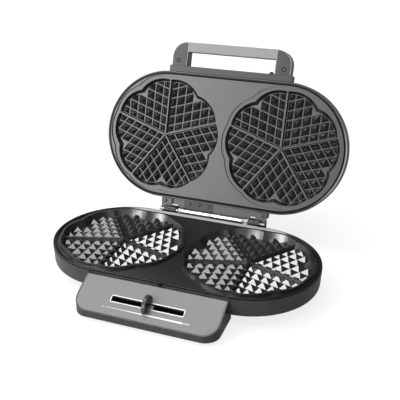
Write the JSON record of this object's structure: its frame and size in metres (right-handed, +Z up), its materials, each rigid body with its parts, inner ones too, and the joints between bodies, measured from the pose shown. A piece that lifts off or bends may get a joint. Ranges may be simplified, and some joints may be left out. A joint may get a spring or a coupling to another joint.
{
  "type": "waffle maker",
  "caption": "Double heart-waffle iron on a low stadium-shaped base, standing open, with a hinged lid, a U handle and a sliding browning control on a sloped front panel.",
  "frame": {"origin": "on the table, at the middle of the object's footprint with the lid open", "axes": "+Z up, +X to the right along the long body, -Y the front where the control panel is"},
  "size_m": [0.347, 0.334, 0.2584],
  "materials": {
    "casing_plastic": "satin dark grey plastic",
    "bezel_black": "glossy black",
    "plate_coating": "cast aluminium with a dark non-stick coating",
    "panel_metal": "finely brushed sheet",
    "handle_silver": "satin silver",
    "insert_plastic": "dark grey satin plastic",
    "hinge_steel": "bright plated steel",
    "screw_steel": "plated cross-recess screws",
    "element_sheath": "tubular heater sheath, dulled",
    "shield_sheet": "thin reflector sheet",
    "rubber": "soft rubber",
    "lamp_red": "dark red translucent plastic",
    "lamp_glass": "small neon lamp",
    "ceramic": "ceramic or phenolic body",
    "gear_plastic": "natural engineering plastic",
    "knob_plastic": "grey satin plastic",
    "slot_trim": "light trim round the slot"
  },
  "bodies": {
    "base": {"lower_casing": "casing_plastic", "bottom_cover": "casing_plastic", "panel_cover": "casing_plastic", "lower_bezel": "bezel_black", "lower_plate": "plate_coating", "lower_heating_element": "element_sheath", "lower_element_clamps": "shield_sheet", "lower_heat_shield": "shield_sheet", "lower_plate_screws": "screw_steel", "lower_thermal_cutout": "ceramic", "control_panel": "panel_metal", "slot_surround": "slot_trim", "ready_lamp_lens": "lamp_red", "ready_lamp_body": "lamp_glass", "thermostat_body": "ceramic", "thermostat_bracket": "shield_sheet", "terminal_block": "ceramic", "cord_gland": "rubber", "base_lead_bush": "rubber", "rubber_feet": "rubber", "cover_screws": "screw_steel", "wedge_screws": "screw_steel", "hinge_rod": "hinge_steel", "hinge_collars": "hinge_steel", "base_hinge_leaf": "hinge_steel", "base_hinge_bracket_left": "casing_plastic", "base_hinge_bracket_right": "casing_plastic", "base_hinge_screws": "screw_steel", "base_leaf_screws": "screw_steel"},
    "lid": {"upper_casing": "casing_plastic", "upper_bezel": "bezel_black", "upper_plate": "plate_coating", "upper_heating_element": "element_sheath", "upper_element_clamps": "shield_sheet", "upper_heat_shield": "shield_sheet", "upper_plate_screws": "screw_steel", "upper_thermal_cutout": "ceramic", "lid_lead_bush": "rubber", "lid_screw_caps": "casing_plastic", "handle_base_strip": "insert_plastic", "handle_frame": "handle_silver", "handle_insert_left": "insert_plastic", "handle_insert_right": "insert_plastic", "handle_screws": "screw_steel", "pilot_lamp_lens": "lamp_red", "pilot_lamp_body": "lamp_glass", "lid_hinge_leaf": "hinge_steel", "lid_hinge_bracket_left": "casing_plastic", "lid_hinge_bracket_right": "casing_plastic", "lid_hinge_screws": "screw_steel", "lid_leaf_screws": "screw_steel"},
    "slider": {"slider_knob": "knob_plastic", "slider_rack": "gear_plastic"},
    "spindle": {"thermostat_pinion": "gear_plastic", "thermostat_spindle": "hinge_steel"}
  },
  "joints": [
    {"name": "lid_hinge", "type": "hinge", "parent": "base", "child": "lid", "pos_m": [0, 0.07156, 0.0357], "axis": [1, 0, 0], "range_deg": [0, 107.5]},
    {"name": "browning_slide", "type": "slide", "parent": "base", "child": "slider", "axis": [1, 0, 0], "range_m": [-0.038, 0.038]},
    {"name": "thermostat_turn", "type": "hinge", "parent": "base", "child": "spindle", "pos_m": [0, -0.11144, 0.0182], "axis": [0, 0, 1], "range_deg": [-136.09, 136.09]}
  ],
  "couplings": [
    {"joint": "thermostat_turn", "follows": "browning_slide", "rad_per_m": 62.5}
  ]
}
